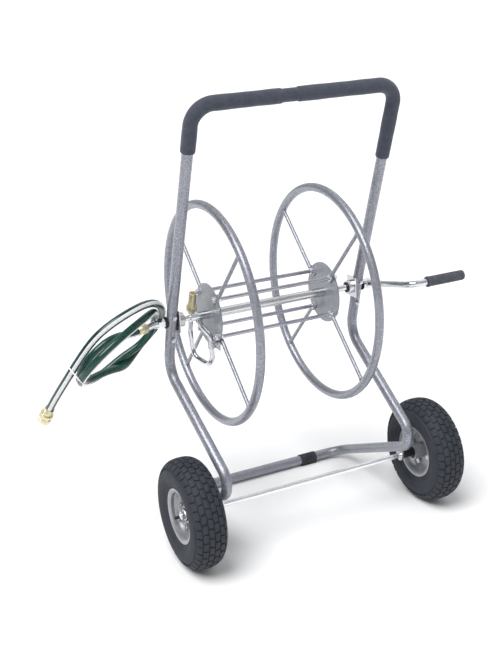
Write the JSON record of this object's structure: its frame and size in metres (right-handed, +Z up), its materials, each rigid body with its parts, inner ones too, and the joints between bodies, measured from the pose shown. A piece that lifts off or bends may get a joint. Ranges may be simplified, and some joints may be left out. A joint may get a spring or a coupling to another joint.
{
  "type": "garden hose reel cart",
  "caption": "Wheeled tube-frame cart with an open hose reel turned by a side crank, water swivel, gooseneck outlet and coiled leader hose.",
  "frame": {"origin": "middle of the cart's footprint, on the ground, without the leader hose", "axes": "+X along the wheel axle and the reel axis towards the crank, +Y from the wheels towards the ground crossbar, +Z up"},
  "size_m": [1.0239, 0.6154, 1.058],
  "materials": {
    "frame_paint": "hammered, semi-gloss",
    "foam": "matte foam",
    "zinc": "bright zinc plated",
    "black_plastic": "matte",
    "rubber": "matte",
    "tyre": "matte, knobby",
    "rim_paint": "semi-gloss",
    "plate_paint": "smooth semi-gloss",
    "chrome": "polished",
    "brass": "turned",
    "hose": "satin, with a pale stripe",
    "white_plastic": "satin"
  },
  "bodies": {
    "frame": {"handle_tube": "frame_paint", "foam_grip_left": "foam", "foam_grip_right": "foam", "grip_joint_band": "foam", "lower_frame_tube": "frame_paint", "leg_bolts": "zinc", "bearing_housings": "zinc", "bearing_bush_left": "black_plastic", "bearing_bush_right": "black_plastic", "axle_brackets": "zinc", "axle_rod": "zinc", "axle_spacers": "black_plastic", "axle_washers": "zinc", "axle_nuts": "zinc", "foot_left": "rubber", "foot_right": "rubber", "inlet_union": "chrome", "inlet_elbow": "chrome", "inlet_nut": "brass", "hose_inner_ferrule": "brass", "leader_hose": "hose", "hose_tie": "white_plastic", "hose_end_ferrule": "brass"},
    "wheel_left": {"tyre_left": "tyre", "rim_outer_left": "rim_paint", "rim_inner_left": "rim_paint", "hub_left": "rim_paint", "wheel_bushes_left": "black_plastic", "rim_bolts_left": "zinc", "valve_stem_left": "rubber"},
    "wheel_right": {"tyre_right": "tyre", "rim_outer_right": "rim_paint", "rim_inner_right": "rim_paint", "hub_right": "rim_paint", "wheel_bushes_right": "black_plastic", "rim_bolts_right": "zinc", "valve_stem_right": "rubber"},
    "reel": {"ring_left": "frame_paint", "ring_right": "frame_paint", "spokes_left": "frame_paint", "spokes_right": "frame_paint", "hub_plate_left": "plate_paint", "hub_plate_right": "plate_paint", "tie_rods": "zinc", "tie_rod_nuts": "zinc", "core_tube": "plate_paint", "crank_shaft": "chrome", "water_shaft": "chrome", "swivel_sleeve": "chrome", "gooseneck_pipe": "chrome", "gooseneck_clamp": "zinc", "clamp_bolt": "zinc", "outlet_fitting": "brass", "crank_collar": "chrome", "crank_rod": "chrome"},
    "crank_handle": {"crank_grip": "black_plastic"},
    "faucet_coupling": {"faucet_nut": "brass", "faucet_washer": "rubber"}
  },
  "joints": [
    {"name": "reel_spin", "type": "hinge", "parent": "frame", "child": "reel", "pos_m": [0, 0.03325, 0.519], "axis": [1, 0, 0], "continuous": true},
    {"name": "wheel_left_spin", "type": "hinge", "parent": "frame", "child": "wheel_left", "pos_m": [-0.35775, -0.17775, 0.13], "axis": [1, 0, 0], "continuous": true},
    {"name": "wheel_right_spin", "type": "hinge", "parent": "frame", "child": "wheel_right", "pos_m": [0.28425, -0.17775, 0.13], "axis": [1, 0, 0], "continuous": true},
    {"name": "crank_grip_spin", "type": "hinge", "parent": "reel", "child": "crank_handle", "pos_m": [0.34625, -0.1665, 0.56512], "axis": [1, 0, 0], "continuous": true},
    {"name": "faucet_nut_spin", "type": "hinge", "parent": "frame", "child": "faucet_coupling", "pos_m": [-0.60808, 0.0731, 0.32986], "axis": [-0.2385, 0.5594, -0.7938], "continuous": true}
  ]
}
